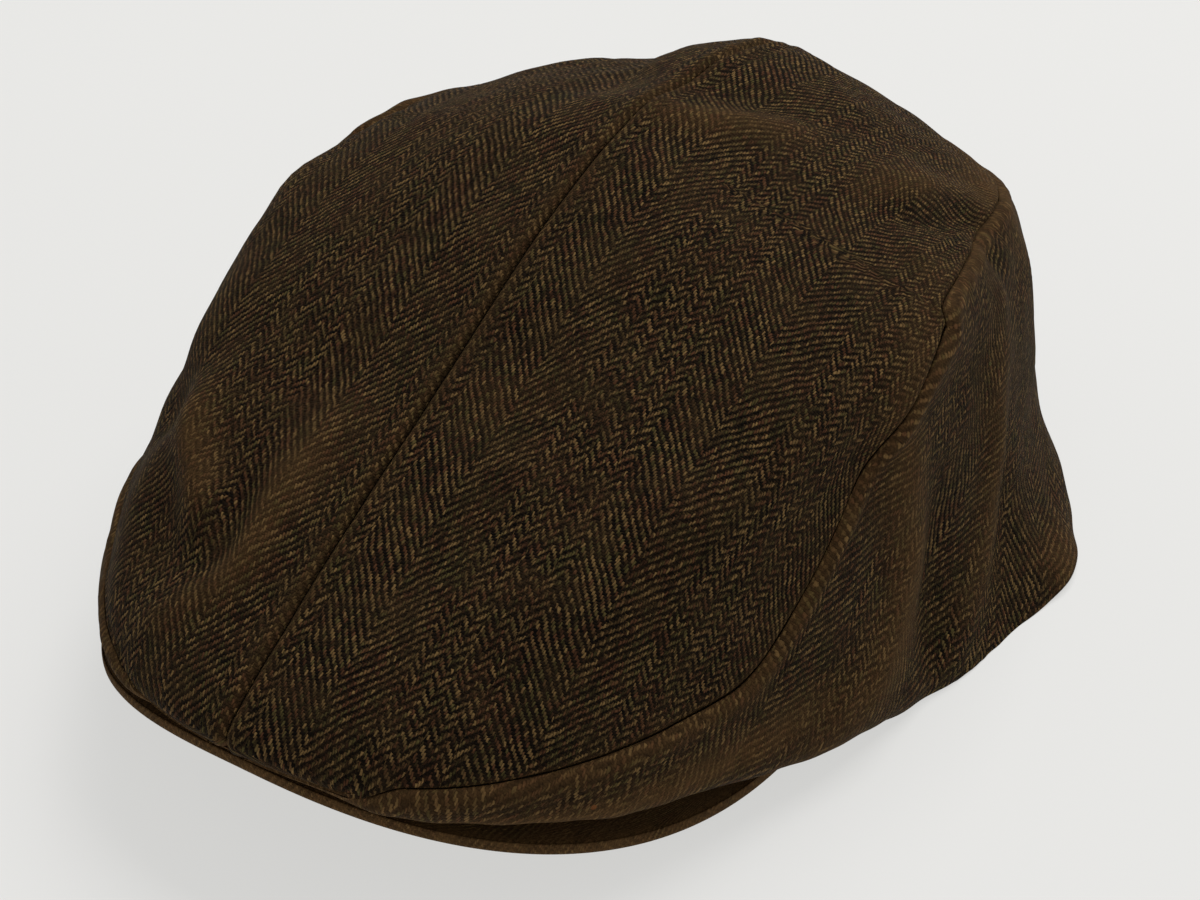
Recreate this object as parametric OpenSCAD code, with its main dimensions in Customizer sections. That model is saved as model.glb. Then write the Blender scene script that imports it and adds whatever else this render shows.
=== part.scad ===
// Flat cap of four wool panels over a stiff curved peak.
// The cap lies on its rim: +Z is up, the peak points to -Y and the wearer's left is +X.
// The origin is on the table, under the middle of the cap's length and width.

/* [Rim] */
// Half the width of the head opening's rim
rim_half_w = 101.5; // [98:0.5:103]
// Reach of the rim forward of its widest place
rim_front = 110.5; // [109:0.5:112]
// Reach of the rim behind its widest place
rim_back = 86; // [84:0.5:88]
// Y of the rim's widest place
rim_y = 36.5; // [35:0.5:38]
// Height of the rim at the middle of the front, where the peak holds it up
rim_lift = 30; // [29:0.5:31]

/* [Crown] */
// Half width where the crown pinches in above the rim
waist_half_w = 90; // [88:0.5:92]
// Y of the lip, the roll of wool over the peak
lip_y = -126; // [-127:0.5:-125]
// Height of the lip's underside at the middle of the front
lip_z = 34; // [33.5:0.5:35]
// Y of the fullest place at the back
back_y = 129.4; // [128:0.1:131]
// Half width at the shoulder, below the top
shoulder_half_w = 82; // [80:0.5:84]
// Height of the shoulder at the sides
shoulder_z = 61; // [59:0.5:63]
// Half width of the flatter top
top_half_w = 72; // [70:0.5:74]
// Height of the flatter top at its sides
top_z = 86; // [84:0.5:88]
// Height of the crown's middle
crown_h = 106.7; // [104:0.5:108]

/* [Peak] */
// Y of the peak's tip
peak_tip_y = -127.4; // [-128:0.1:-126]
// Angle round the rim, from the front, where the peak's corners are sewn
peak_corner_angle = 52; // [50:1:54]
// Height of the middle of the peak's edge at its tip
peak_tip_z = 28.8; // [28.4:0.1:29]
// Thickness of the stiff board
board_t = 1.4; // [1.2:0.1:1.6]
// Thickness of each cover of the peak
cover_t = 0.8; // [0.6:0.1:0.9]

/* [Cloth] */
// Thickness of the wool with its backing
wool_t = 1.4; // [1.2:0.1:1.6]
// Thickness of the lining
lining_t = 0.5; // [0.4:0.1:0.6]
// Distance from the wool's face to the lining's face
lining_depth = 3; // [2.8:0.1:3.4]
// Thickness of the sweatband
band_t = 0.9; // [0.7:0.1:1]
// Height of the sweatband
band_h = 28; // [26:1:30]
// Height of the stiffening tape in the rim
tape_h = 9; // [8:0.5:10]

/* [Snap] */
// Place of the snap under the lip, from 0 at the rim to 1 at the lip
snap_place = 0.6; // [0.5:0.02:0.66]
// Radius of the snap's discs
snap_r = 5.5; // [5:0.5:6]
// Radius of the stud
stud_r = 1.9; // [1.7:0.1:2]
// Height of the stud
stud_h = 0.9; // [0.8:0.1:0.9]

/* [Hidden] */
$fn = 48;

WOOL = "#3d3022";
LINING = "#3a2f2a";
BAND = "#2b2622";
STEEL = "#8f8a80";

// The crown is a loft. Each ring lists, in order: centre y, half width, reach forward,
// reach back, squareness in front and behind, height in front, at the side and behind,
// and how narrowly the height in front is kept to the middle.
RIM = [rim_y, rim_half_w, rim_front, rim_back, 2, 2.1, rim_lift, 0, 0, 3];
WAIST = [21, waist_half_w, 21 - lip_y, back_y - 21, 2.5, 2.2, lip_z, 19, 36.5, 3];
SHOULDER = [22, shoulder_half_w, 141.5, 101.5, 2.2, 2.2, 45, shoulder_z, 63.5, 2];
TOP = [18.5, top_half_w, 87, 62, 2.2, 1.4, 72, top_z, 100, 2];
CROWN_MID = [0, 11, crown_h];
CROWN = [RIM, WAIST, SHOULDER, TOP, CROWN_MID];

// The lining's loft is the same one drawn in. It takes the short way round inside the lip.
function inset(r, d, front, lift_front, lift) =
    [r[0], r[1] - d, r[2] - front, r[3] - d, r[4], r[5], r[6] + lift_front, r[7] + lift,
     r[8] + lift, r[9]];
LINED = [
    inset(RIM, lining_depth, lining_depth, 3, 1),
    inset(WAIST, lining_depth, 15, 5, 0),
    inset(SHOULDER, lining_depth, 9, 2, -1),
    inset(TOP, lining_depth, lining_depth, -lining_depth, -lining_depth),
    CROWN_MID - [0, 0, lining_depth]
];
T_MID = 4;                 // loft parameter at the middle of the crown
SEAM_LOW = 1.42;           // loft parameter of the side seam along the lip
SEAM_TUCK = 0.34;          // how far the seam drops to the lip in the middle
SEAM_T = 0.009;            // half the gap between top and side panels, as a loft parameter
SEAM_RISE = 1.4;           // rise of the side seam towards the crown's widest place
SEAM_FALL = 0.75;          // fall of the side seam towards the back
SEAM_GAP = 0.1;            // clearance on each side of a seam
LAYER_GAP = 1.6;           // clearance between the peak and the wool above it
TAPE_T = 0.6;
PEAK_SQUARE = 2.3;         // squareness of the peak's outline
PANEL_STEPS = 48;          // steps round a half panel of wool
LINING_STEPS = 30;         // steps round a half panel of lining
PEAK_STEPS = 40;           // steps along the peak's edge

function along(a, b, w) = a + (b - a) * w;
function smooth(w) = let (k = min(max(w, 0), 1)) k * k * (3 - 2 * k);
function spow(v, e) = sign(v) * pow(abs(v), e);

// Point of a ring at an angle counted from the front (-Y) towards +X
function ring_pt(r, a) =
    let (
        s = sin(a),
        c = cos(a),
        front = c > 0,
        q = 2 / (front ? r[4] : r[5]),
        w = pow(abs(c), front ? r[9] : 2)
    )
    [r[1] * spow(s, q),
     r[0] - (front ? r[2] : r[3]) * spow(c, q),
     along(r[7], front ? r[6] : r[8], w)];

function spline(a, b, c, d, u) =
    0.5 * (2 * b + (c - a) * u + (2 * a - 5 * b + 4 * c - d) * u * u
           + (3 * b - a - 3 * c + d) * u * u * u);

// A loft's stations at one angle, with a ghost before the rim and one past the middle
function stations(loft, a) =
    let (p0 = ring_pt(loft[0], a), p1 = ring_pt(loft[1], a))
    [2 * p0 - p1, p0, p1, ring_pt(loft[2], a), ring_pt(loft[3], a), loft[4],
     ring_pt(loft[3], a + 180)];

// Point of a loft's outer face: t runs from 0 at the rim to T_MID in the middle
function face(loft, a, t) =
    let (p = stations(loft, a), k = min(max(floor(t), 0), T_MID - 1))
    spline(p[k], p[k + 1], p[k + 2], p[k + 3], t - k);

function unit(v) = v / norm(v);
function outward(loft, a, t) =
    unit(cross(face(loft, a + 1, t) - face(loft, a - 1, t),
               face(loft, a, t + 0.02) - face(loft, a, t - 0.02)));

// Point under a loft's face. At the rim it keeps its height, so the rim's edge is flat.
function below(loft, a, t, depth) =
    t >= T_MID ? loft[4] - [0, 0, depth] :
    let (n = outward(loft, a, t), flat = unit([n[0], n[1], 0]), w = smooth(t / 0.3))
    face(loft, a, t) - depth * unit(along(flat, n, w));

// Seam between the top panel and the side panel, as a loft parameter
function seam_t(a) =
    SEAM_LOW - SEAM_TUCK * smooth((22 - a) / 12)
    + SEAM_RISE * smooth((a - 60) / 36) - SEAM_FALL * smooth((a - 96) / 54);

// Triangles between two rows of n points that start at indices i and j
function strip(i, j, n) =
    [for (k = [0:n - 2]) each [[i + k, i + k + 1, j + k + 1], [i + k, j + k + 1, j + k]]];
function flip(faces) = [for (f = faces) [f[2], f[1], f[0]]];

// Closed solid between two grids of points, the outer one and the inner one
module slab(outer, inner) {
    rows = len(outer);
    n = len(outer[0]);
    size = rows * n;
    sides = [
        for (i = [0:rows - 2])
        let (a = i * n, b = a + n, c = a + n - 1, d = c + n)
        each [[a, b, b + size], [a, b + size, a + size],
              [d, c, c + size], [d, c + size, d + size]]
    ];
    skins = [for (i = [0:rows - 2]) each strip(i * n, (i + 1) * n, n)];
    last = (rows - 1) * n;
    polyhedron(
        points = [each for (r = outer) r, each for (r = inner) r],
        faces = flip([
            each skins,
            each flip([for (f = skins) [for (v = f) v + size]]),
            each flip(strip(0, size, n)),
            each strip(last, last + size, n),
            each sides
        ])
    );
}

// Closed solid between two fans of points whose last rows meet in one apex each
module fan_slab(outer, outer_apex, inner, inner_apex) {
    rows = len(outer);
    n = len(outer[0]);
    top = rows * n;
    size = top + 1;
    last = top - n;
    ends = [
        for (i = [0:rows - 1])
        let (a = i * n, b = i < rows - 1 ? a + n : top, c = a + n - 1, d = i < rows - 1 ? c + n : top)
        each [[a, b, b + size], [a, b + size, a + size],
              [d, c, c + size], [d, c + size, d + size]]
    ];
    skins = [
        for (i = [0:rows - 2]) each strip(i * n, (i + 1) * n, n),
        for (k = [0:n - 2]) [last + k, last + k + 1, top]
    ];
    polyhedron(
        points = [each for (r = outer) r, outer_apex, each for (r = inner) r, inner_apex],
        faces = flip([
            each skins,
            each flip([for (f = skins) [for (v = f) v + size]]),
            each flip(strip(0, size, n)),
            each ends
        ])
    );
}

// Half of a loft above the side seam, with its thickness under its face
module top_half(loft, thickness, steps, rows) {
    angles = [for (i = [0:steps]) 180 * i / steps];
    function t_of(a, j) = along(seam_t(a) + SEAM_T, T_MID, j / rows);
    translate([SEAM_GAP, 0, 0])
        fan_slab(
            [for (j = [0:rows - 1]) [for (a = angles) face(loft, a, t_of(a, j))]],
            loft[4],
            [for (j = [0:rows - 1]) [for (a = angles) below(loft, a, t_of(a, j), thickness)]],
            below(loft, 0, T_MID, thickness)
        );
}

// Half of a loft below the side seam. The lining's foot hides behind the sweatband.
module side_half(loft, thickness, steps, rows) {
    angles = [for (i = [0:steps]) 180 * i / steps];
    function low(a) = loft == CROWN ? 0 : 1 - (a < 90 ? 0.85 : 0.35) * pow(cos(a), 2);
    function t_of(a, j) = along(low(a), seam_t(a) - SEAM_T, j / rows);
    translate([SEAM_GAP, 0, 0])
        slab(
            [for (j = [0:rows]) [for (a = angles) face(loft, a, t_of(a, j))]],
            [for (j = [0:rows]) [for (a = angles) below(loft, a, t_of(a, j), thickness)]]
        );
}

module top_panel_left() { color(WOOL) top_half(CROWN, wool_t, PANEL_STEPS, 14); }
module top_panel_right() {
    color(WOOL) mirror([1, 0, 0]) top_half(CROWN, wool_t, PANEL_STEPS, 14);
}
module side_panel_left() { color(WOOL) side_half(CROWN, wool_t, PANEL_STEPS, 9); }
module side_panel_right() {
    color(WOOL) mirror([1, 0, 0]) side_half(CROWN, wool_t, PANEL_STEPS, 9);
}

module top_lining_left() { color(LINING) top_half(LINED, lining_t, LINING_STEPS, 9); }
module top_lining_right() {
    color(LINING) mirror([1, 0, 0]) top_half(LINED, lining_t, LINING_STEPS, 9);
}
module side_lining_left() { color(LINING) side_half(LINED, lining_t, LINING_STEPS, 5); }
module side_lining_right() {
    color(LINING) mirror([1, 0, 0]) side_half(LINED, lining_t, LINING_STEPS, 5);
}

// The sweatband stands inside the rim and leans in at the sides with the crown
BAND_FOOT = [rim_y, rim_half_w - 5, rim_front - 5, rim_back - 5, 2, 2.1, rim_lift, 0, 0, 3];
BAND_MID = [rim_y - 1, rim_half_w - 13.5, rim_front - 6.5, rim_back - 4.5, 2, 2.1,
            rim_lift, 0, 0, 3];
BAND_TOP = [rim_y - 2, rim_half_w - 21, rim_front - 9, rim_back - 4, 2, 2.1,
            rim_lift, 0, 0, 3];
BAND_FOOT_Z = 0.6;
function band_pt(a, h, depth) =
    let (
        f = ring_pt(BAND_FOOT, a),
        m = ring_pt(BAND_MID, a) + [0, 0, band_h * 0.45],
        p = ring_pt(BAND_TOP, a) + [0, 0, band_h],
        q = spline(2 * f - m, f, m, p, min(h / (band_h * 0.45), 1)),
        r = spline(f, m, p, 2 * p - m, max(h / band_h - 0.45, 0) / 0.55),
        v = h < band_h * 0.45 ? q : r,
        out = unit([f[0], f[1] - rim_y, 0])
    )
    v + [0, 0, BAND_FOOT_Z] - depth * out;

// Closed hoop of cloth between two heights and two depths
module hoop(h0, h1, depth_a, depth_b, steps, rows) {
    heights = [for (i = [0:rows]) along(h0, h1, i / rows)];
    loop = [
        for (h = heights) [h, depth_a],
        for (i = [rows:-1:0]) [heights[i], depth_b]
    ];
    n = len(loop);
    polyhedron(
        points = [for (i = [0:steps - 1]) each [for (p = loop) band_pt(360 * i / steps, p[0], p[1])]],
        faces = [
            for (i = [0:steps - 1], k = [0:n - 1])
            let (a = i * n + k, b = i * n + (k + 1) % n,
                 c = ((i + 1) % steps) * n + k, d = ((i + 1) % steps) * n + (k + 1) % n)
            each [[a, b, d], [a, d, c]]
        ]
    );
}

module sweatband() { color(BAND) hoop(0, band_h, 0, band_t, 72, 4); }
module rim_tape() { color(BAND) hoop(0.5, tape_h, -0.3 - TAPE_T, -0.3, 72, 1); }

// The peak is a sheet between the rim in front and its own outer edge
corner = ring_pt(RIM, peak_corner_angle);
root_drop = LAYER_GAP + cover_t + board_t / 2;
function peak_edge(f) =
    let (
        q = 2 / PEAK_SQUARE,
        x = corner[0] * spow(sin(f), q),
        y = along(corner[1], peak_tip_y, pow(cos(f), q)),
        w = pow(x / corner[0], 2)
    )
    [x, y, along(peak_tip_z, corner[2] - root_drop, w)];
function peak_root(f) =
    ring_pt(RIM, f * peak_corner_angle / 90) + [0, 0, -root_drop];

// Point of the peak: f from -90 to 90 round its edge, v from 0 at the root to 1 at the edge
function peak_pt(f, v, lift) =
    let (r = peak_root(f), e = peak_edge(f)) along(r, e, v) + [0, 0, lift];

// Layer of the peak between two heights. Its corners stop short of the sharp ends.
module peak_layer(low, high, v0, v1) {
    reach = 84;
    rows = 8;
    angles = [for (i = [0:PEAK_STEPS]) reach * (2 * i / PEAK_STEPS - 1)];
    slab(
        [for (j = [0:rows]) [for (f = angles) peak_pt(f, along(v0, v1, j / rows), low)]],
        [for (j = [0:rows]) [for (f = angles) peak_pt(f, along(v0, v1, j / rows), high)]]
    );
}

LAYER_SLIP = 0.05;         // gap between a cover and the board
module peak_board() {
    color("#6b6558")
        difference() {
            peak_layer(-board_t / 2, board_t / 2, 0.05, 0.97);
            // the hole that the snap's post is set in
            translate([0, snap_y, post_z - board_t]) cylinder(h = 3 * board_t, r = post_r + 0.3);
        }
}
module peak_top_cover() {
    color(WOOL) peak_layer(board_t / 2 + LAYER_SLIP, board_t / 2 + cover_t, 0.03, 1);
}
module peak_under_cover() {
    color(WOOL) peak_layer(-board_t / 2 - cover_t, -board_t / 2 - LAYER_SLIP, 0.03, 1);
}

// The snap joins the crown's underside to the peak on the centre line
under = face(CROWN, 0, snap_place);
snap_y = under[1];
peak_z = peak_pt(0, (snap_y - peak_root(0)[1]) / (peak_tip_y - peak_root(0)[1]), 0)[2];
cover_z = peak_z + board_t / 2 + cover_t;
DISC_T = 0.6;              // thickness of the snap's cap and post discs
FLANGE_T = 0.3;            // thickness of the stud's flange
SOCKET_T = 1.2;            // thickness of the socket
SOCKET_DEPTH = 1;          // depth of the socket's hole
STUD_PLAY = 0.4;           // clearance round the stud in the socket
RIVET_R = 1;               // radius of the rivets that pierce the cloth
CROWN_SLOPE_GAP = 0.3;     // clearance between a flat disc and the sloping crown
PEAK_SLOPE_GAP = 0.15;     // clearance between the stud's flange and the arched peak
post_r = 4;
post_z = peak_z - board_t / 2 + 0.1;

module at_snap(z) { color(STEEL) translate([0, snap_y, z]) children(); }
module snap_cap() {
    at_snap(under[2] + wool_t + CROWN_SLOPE_GAP) {
        cylinder(h = DISC_T, r = snap_r);
        translate([0, 0, -wool_t - 2 * CROWN_SLOPE_GAP])
            cylinder(h = wool_t + 3 * CROWN_SLOPE_GAP, r = RIVET_R);
    }
}
module snap_socket() {
    at_snap(under[2] - CROWN_SLOPE_GAP - SOCKET_T)
        difference() {
            cylinder(h = SOCKET_T, r = snap_r);
            translate([0, 0, -1]) cylinder(h = SOCKET_DEPTH + 1, r = stud_r + STUD_PLAY);
        }
}
module snap_stud() {
    at_snap(cover_z + PEAK_SLOPE_GAP) {
        cylinder(h = FLANGE_T, r = snap_r - 1);
        cylinder(h = FLANGE_T + stud_h - 0.5, r = stud_r - 0.3);
        translate([0, 0, FLANGE_T + stud_h - 0.6]) cylinder(h = 0.6, r = stud_r);
    }
}
module snap_post() {
    at_snap(post_z) {
        cylinder(h = DISC_T, r = post_r);
        cylinder(h = cover_z + PEAK_SLOPE_GAP - post_z, r = RIVET_R);
    }
}

// A blank cloth tab sewn to the sweatband at the back
module size_tab() {
    color("#b9b1a0")
        slab(
            [for (h = [9:3:21]) [for (a = [174:2:186]) band_pt(a, h, band_t + 0.1)]],
            [for (h = [9:3:21]) [for (a = [174:2:186]) band_pt(a, h, band_t + 0.4)]]
        );
}

top_panel_left();
top_panel_right();
side_panel_left();
side_panel_right();
top_lining_left();
top_lining_right();
side_lining_left();
side_lining_right();
sweatband();
rim_tape();
peak_board();
peak_top_cover();
peak_under_cover();
snap_cap();
snap_socket();
snap_stud();
snap_post();
size_tab();
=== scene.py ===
"""Looks of a flat cap: herringbone wool panels, lining, sweatband, covered peak and snap."""
import math

import bpy
import numpy as np
from mathutils import Matrix, Vector


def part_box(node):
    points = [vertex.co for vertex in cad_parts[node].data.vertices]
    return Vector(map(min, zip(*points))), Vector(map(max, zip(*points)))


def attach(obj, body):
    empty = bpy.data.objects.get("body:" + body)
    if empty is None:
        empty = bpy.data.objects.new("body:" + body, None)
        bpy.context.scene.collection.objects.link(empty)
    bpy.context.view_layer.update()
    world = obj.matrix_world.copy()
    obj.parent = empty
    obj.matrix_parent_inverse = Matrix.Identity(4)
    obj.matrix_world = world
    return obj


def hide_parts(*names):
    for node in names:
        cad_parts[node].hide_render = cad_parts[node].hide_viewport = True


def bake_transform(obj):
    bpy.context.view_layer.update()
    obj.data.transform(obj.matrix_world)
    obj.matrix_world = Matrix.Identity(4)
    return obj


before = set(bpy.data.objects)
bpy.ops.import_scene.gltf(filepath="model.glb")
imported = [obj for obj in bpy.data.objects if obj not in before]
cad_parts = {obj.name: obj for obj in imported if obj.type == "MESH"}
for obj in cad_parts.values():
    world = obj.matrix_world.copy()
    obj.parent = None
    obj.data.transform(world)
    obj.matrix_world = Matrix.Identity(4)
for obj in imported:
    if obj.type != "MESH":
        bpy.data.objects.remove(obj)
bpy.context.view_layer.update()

MM = 0.001
PI = math.pi

# ---------------------------------------------------------------- sizes, in millimetres
# Each ring of the crown lists centre y, half width, reach forward, reach back, squareness
# in front and behind, height in front, at the side and behind, and how narrowly the height
# in front is kept to the middle. The rings are those of the CAD model.
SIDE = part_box("side_panel_left")
SEAM_GAP = 0.1
RIM_HALF_W = SIDE[1].x / MM - SEAM_GAP
RIM_Y = 36.5
RIM_LIFT = 30.0
RIM = (RIM_Y, RIM_HALF_W, 110.5, 86, 2, 2.1, RIM_LIFT, 0, 0, 3)
WAIST = (21, 90, 147, 108.4, 2.5, 2.2, 34, 19, 36.5, 3)
SHOULDER = (22, 82, 141.5, 101.5, 2.2, 2.2, 45, 61, 63.5, 2)
TOP = (18.5, 72, 87, 62, 2.2, 1.4, 72, 86, 100, 2)
MID_Y, MID_Z = 11, 106.7
CROWN = ((RIM, WAIST, SHOULDER, TOP), (0, MID_Y, MID_Z))
T_MID = 4
# The side seam, as a loft parameter: its level along the lip, its dip to the lip's edge in
# front, its rise towards the crown's widest place and its fall towards the back.
SEAM_LOW, SEAM_TUCK, SEAM_RISE, SEAM_FALL = 1.42, 0.34, 1.4, 0.75
WOOL_T = 1.4
LINING_T = 0.5
LINING_DEPTH = 3.0


def inset(ring, depth, front, lift_front, lift):
    """A ring of the lining: the crown's ring drawn in."""
    y, half, fwd, rear, sq_f, sq_b, z_f, z_s, z_b, narrow = ring
    return (y, half - depth, fwd - front, rear - depth, sq_f, sq_b,
            z_f + lift_front, z_s + lift, z_b + lift, narrow)


LINED = (
    (
        inset(RIM, LINING_DEPTH, LINING_DEPTH, 3, 1),
        inset(WAIST, LINING_DEPTH, 15, 5, 0),
        inset(SHOULDER, LINING_DEPTH, 9, 2, -1),
        inset(TOP, LINING_DEPTH, LINING_DEPTH, -LINING_DEPTH, -LINING_DEPTH),
    ),
    (0, MID_Y, MID_Z - LINING_DEPTH),
)
BAND_T = 0.9
BAND_H = 28.0
BAND_BEND = 0.45
BAND_FOOT_Z = 0.6
BAND_FOOT = (RIM_Y, RIM_HALF_W - 5, 105.5, 81, 2, 2.1, RIM_LIFT, 0, 0, 3)
BAND_MID = (RIM_Y - 1, RIM_HALF_W - 13.5, 104, 81.5, 2, 2.1, RIM_LIFT, 0, 0, 3)
BAND_TOP = (RIM_Y - 2, RIM_HALF_W - 21, 101.5, 82, 2, 2.1, RIM_LIFT, 0, 0, 3)
BAND_LENGTH = 600         # of one turn, in round figures
TAPE_T = 0.6
TAPE_H = 9.0
TAPE_FOOT = 0.5
TAPE_OUT = 0.3            # how far outside the band's face the tape lies
PEAK_ANGLE = 52
PEAK_TIP_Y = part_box("peak_top_cover")[0].y / MM
PEAK_TIP_Z = 28.8
PEAK_SQUARE = 2.3
BOARD_T = 1.4
BOARD_HALF = BOARD_T / 2
COVER_T = 0.8
LAYER_GAP = 1.6


# ---------------------------------------------------------------- surfaces
def smooth(w):
    """A soft step from 0 to 1."""
    k = np.clip(w, 0, 1)
    return k * k * (3 - 2 * k)


def bell(d, width):
    """1 at distance 0, falling off over the width."""
    return np.exp(-((d / width) ** 2))


def spow(v, e):
    """A power that keeps the sign."""
    return np.sign(v) * np.abs(v) ** e


def along(a, b, w):
    """The value a share w of the way from a to b."""
    return a + (b - a) * w


def ring_pt(ring, a):
    """Points of a ring at angles counted in radians from the front (-Y) towards +X."""
    y, half, fwd, rear, sq_f, sq_b, z_f, z_s, z_b, narrow = ring
    s, c = np.sin(a), np.cos(a)
    front = c > 0
    q = np.where(front, 2 / sq_f, 2 / sq_b)
    w = np.abs(c) ** np.where(front, narrow, 2)
    return np.stack([
        half * spow(s, q),
        y - np.where(front, fwd, rear) * spow(c, q),
        along(z_s, np.where(front, z_f, z_b), w),
    ], -1)


def spline(p, u):
    """A smooth curve from the second to the third of four points."""
    a, b, c, d = p
    return 0.5 * (2 * b + (c - a) * u + (2 * a - 5 * b + 4 * c - d) * u ** 2
                  + (3 * b - a - 3 * c + d) * u ** 3)


def face(loft, a, t):
    """Points of a loft's outer face: t runs from 0 at the rim to T_MID in the middle."""
    a, t = np.broadcast_arrays(a, t)
    rings, mid = loft
    p0, p1 = ring_pt(rings[0], a), ring_pt(rings[1], a)
    stations = np.stack([
        2 * p0 - p1, p0, p1, ring_pt(rings[2], a), ring_pt(rings[3], a),
        np.broadcast_to(np.array(mid, float), p0.shape), ring_pt(rings[3], a + PI),
    ])
    k = np.clip(np.floor(t), 0, T_MID - 1).astype(int)
    near = [np.take_along_axis(stations, (k + o)[None, ..., None], 0)[0] for o in range(4)]
    return spline(near, (t - k)[..., None])


def seam_t(a):
    """The seam between the top panel and the side panel, as a loft parameter."""
    deg = np.degrees(a)
    rise = SEAM_RISE * smooth((deg - 60) / 36) - SEAM_FALL * smooth((deg - 96) / 54)
    return SEAM_LOW - SEAM_TUCK * smooth((22 - deg) / 12) + rise


def unit(v):
    return v / np.maximum(np.linalg.norm(v, axis=-1, keepdims=True), 1e-9)


def grid_normals(p):
    """Unit normals of a grid of points, rows by columns."""
    return unit(np.cross(np.gradient(p, axis=1), np.gradient(p, axis=0)))


def outward(loft, a, t):
    """Unit normals of a loft's outer face."""
    da, dt = 0.01, 0.01
    return unit(np.cross(face(loft, a + da, t) - face(loft, a - da, t),
                         face(loft, a, t + dt) - face(loft, a, t - dt)))


def disc_face(loft, x, y):
    """Points of a loft above the side seam, over a disc: (0, -1) is the front of the seam."""
    a = np.arctan2(x, -y)
    return face(loft, a, T_MID - np.hypot(x, y) * (T_MID - seam_t(np.abs(a))))


def disc_outward(loft, x, y):
    """Unit normals of disc_face."""
    d = 0.02
    return unit(np.cross(disc_face(loft, x + d, y) - disc_face(loft, x - d, y),
                         disc_face(loft, x, y + d) - disc_face(loft, x, y - d)))


def arc(p, axis):
    """Length run along a grid's rows or columns."""
    step = np.linalg.norm(np.diff(p, axis=axis), axis=-1)
    zero = np.zeros_like(np.take(step, [0], axis))
    return np.concatenate([zero, np.cumsum(step, axis)], axis)


def eased(n, k):
    """n + 1 values from 0 to 1 that lie closer together near both ends."""
    x = np.linspace(0, 1, n + 1)
    return x - k * np.sin(2 * PI * x) / (2 * PI)


# ---------------------------------------------------------------- folds
# Each fold is a line of points on the crown, with its width and its height; a height
# below zero is a hollow. The wearer's left is at +X.
FOLDS = [
    # side wall on the left: a broad soft ridge that runs down into the lip, then a second one
    (((72, 32, 84), (80, 1, 73), (83, -3, 55), (86, -6, 36), (88, -13, 25), (88, -24, 18),
      (87, -40, 14), (83, -54, 13)), 8.0, 3.0),
    (((80, 52, 68), (84, 42, 52), (86, 37, 38), (89, 29, 24), (93, 17, 13), (95, 6, 8)), 5.5, 2.4),
    (((84, 12, 48), (88, 8, 30), (92, 1, 15), (95, -4, 6)), 6.5, -3.2),
    (((88, 46, 36), (91, 38, 16), (94, 27, 9)), 6.0, -1.8),
    (((101, 47, 0), (101, 53, 1), (99, 60, 2)), 8.5, 2.8),
    (((92, 84, 12), (86, 92, 14)), 9.0, 1.5),
    # the pinched corner at the back of the left side, with a dart of hollows above it
    (((50, 104, 66), (58, 92, 70), (62, 80, 74)), 12.0, 3.4),
    (((72, 86, 50), (75, 85, 34), (76, 90, 18), (83, 86, 6)), 9.0, -2.0),
    (((60, 99, 66), (64, 96, 63), (67, 92, 60)), 9.0, -2.0),
    (((96, 5, 3), (99, 22, 2), (100, 36, 2)), 8.0, -2.3),
    (((56, 38, 92), (62, 52, 86), (63, 66, 80), (67, 69, 75)), 4.5, -3.0),
    (((50, 40, 95), (53, 56, 90), (56, 73, 82)), 7.0, 1.8),
    (((70, 62, 78), (72, 58, 74)), 5.0, -2.0),
    # pinch across the top, next to the centre seam
    (((2, 24, 108), (9, 26, 107), (17, 30, 106), (25, 38, 104), (31, 48, 100)), 6.0, 2.4),
    (((2, 40, 108), (10, 47, 106), (20, 52, 103)), 8.0, -3.0),
    (((-17, 36, 105), (-20, 46, 103)), 13.0, -2.5),
    (((-27, 54, 101), (-30, 66, 97), (-32, 74, 94), (-33, 86, 87)), 11.0, -5.0),
    # shallow hollow and ridge beside the centre seam
    (((7, -43, 85), (14, -42, 85)), 7.0, -1.2),
    (((9, -55, 78), (14, -51, 81), (21, -46, 83)), 6.0, 1.0),
    # folds over the front of the right side
    (((-52, -72, 66), (-46, -82, 63), (-38, -91, 59), (-30, -97, 56)), 6.0, 3.6),
    (((-15, -68, 72), (-17, -82, 65), (-18, -91, 61), (-18, -101, 55), (-21, -107, 51),
      (-28, -114, 45)), 6.0, 3.0),
    (((-26, -88, 62), (-25, -98, 57), (-26, -105, 52)), 6.0, -3.0),
    (((-50, -88, 58), (-42, -98, 53), (-36, -106, 48)), 8.0, -4.0),
    (((-60, -66, 64), (-64, -74, 56)), 8.0, -2.8),
    # the far side and the back, which settle in broad waves
    (((-82, -10, 60), (-86, -6, 36), (-90, -12, 16)), 9.0, 2.4),
    (((-84, 20, 48), (-89, 12, 24), (-93, 6, 10)), 7.0, -2.4),
    (((-80, 48, 64), (-86, 40, 34), (-92, 32, 12)), 8.0, 2.0),
    (((-58, 96, 70), (-62, 84, 74)), 11.0, 3.0),
    (((-64, 66, 80), (-60, 44, 88)), 6.0, -1.8),
    (((-77, 15, 84), (-75, 24, 85), (-71, 32, 86)), 7.0, -3.0),
    (((-76, -10, 81), (-76, -2, 81)), 6.0, 1.4),
    # the far end of the lip, drawn in
    (((-70, -82, 40), (-65, -95, 34), (-56, -108, 31), (-42, -118, 32), (-26, -124, 33)), 9.0, -3.0),
    (((34, 116, 44), (40, 112, 26), (46, 106, 10)), 9.0, 2.0),
    (((8, 124, 40), (10, 120, 18)), 10.0, -1.6),
    (((-36, 116, 46), (-44, 108, 22)), 10.0, 2.0),
]


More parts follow.
